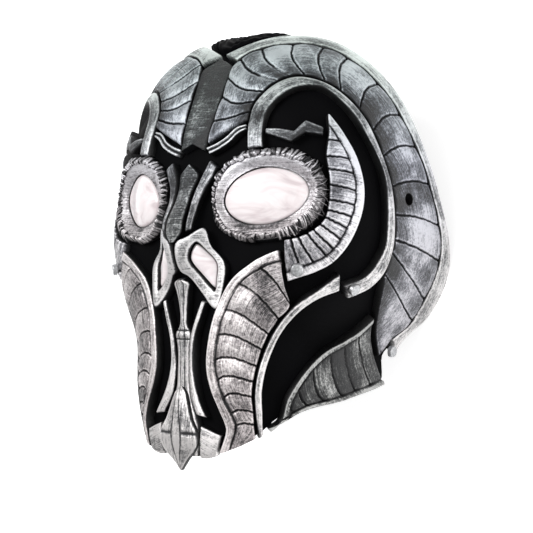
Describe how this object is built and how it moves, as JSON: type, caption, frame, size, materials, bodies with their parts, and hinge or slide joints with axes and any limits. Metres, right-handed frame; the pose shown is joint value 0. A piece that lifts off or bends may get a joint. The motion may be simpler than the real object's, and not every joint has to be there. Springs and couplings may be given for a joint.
{
  "type": "leather mask",
  "caption": "Full-face leather mask with curled ram-horn plates, ribbed cheeks, fringed oval eyes with pearly lenses, a ridged mouth and a pointed chin.",
  "frame": {"origin": "centre of the bounding box's base, on the surface that the mask lies on, face up", "axes": "+X towards the wearer's left, +Y towards the crown, +Z out of the face; the mask lies on its back rim"},
  "size_m": [0.2088, 0.2699, 0.1547],
  "materials": {
    "black_leather": "matte dyed black",
    "silver_leather": "silver paint rubbed over tooled leather",
    "bright_silver_leather": "bright silver paint on raised edges",
    "gunmetal_leather": "dark silver paint, smooth",
    "pearl_lens": "glossy pearly white with faint pink swirls",
    "rivet_metal": "satin"
  },
  "bodies": {
    "root": {"base_shell": "black_leather", "forehead_strip": "gunmetal_leather", "nose_bridge": "gunmetal_leather", "mouth_spine": "silver_leather", "chin_tusk": "bright_silver_leather", "horn_plate_left": "silver_leather", "horn_plate_right": "silver_leather", "horn_band_left": "bright_silver_leather", "horn_band_right": "bright_silver_leather", "horn_strap_left": "bright_silver_leather", "horn_strap_right": "bright_silver_leather", "brow_trim_left": "silver_leather", "brow_trim_right": "silver_leather", "brow_zigzag_left": "gunmetal_leather", "brow_zigzag_right": "gunmetal_leather", "eye_crescent_left": "silver_leather", "eye_crescent_right": "silver_leather", "eye_fringe_left": "silver_leather", "eye_fringe_right": "silver_leather", "eye_lens_left": "pearl_lens", "eye_lens_right": "pearl_lens", "cheek_plate_left": "silver_leather", "cheek_plate_right": "silver_leather", "cheek_band_left": "bright_silver_leather", "cheek_band_right": "bright_silver_leather", "jaw_plate_left": "gunmetal_leather", "jaw_plate_right": "gunmetal_leather", "nostril_frame_left": "bright_silver_leather", "nostril_frame_right": "bright_silver_leather", "nostril_gem_left": "pearl_lens", "nostril_gem_right": "pearl_lens", "nose_strip_left": "silver_leather", "nose_strip_right": "silver_leather", "mouth_rib_left": "silver_leather", "mouth_rib_right": "silver_leather", "chin_band_left": "silver_leather", "chin_band_right": "silver_leather", "rivet_cheek_left": "rivet_metal", "rivet_cheek_right": "rivet_metal", "rivet_temple_left": "rivet_metal", "rivet_temple_right": "rivet_metal", "rivet_jaw_left": "rivet_metal", "rivet_jaw_right": "rivet_metal"}
  },
  "joints": []
}
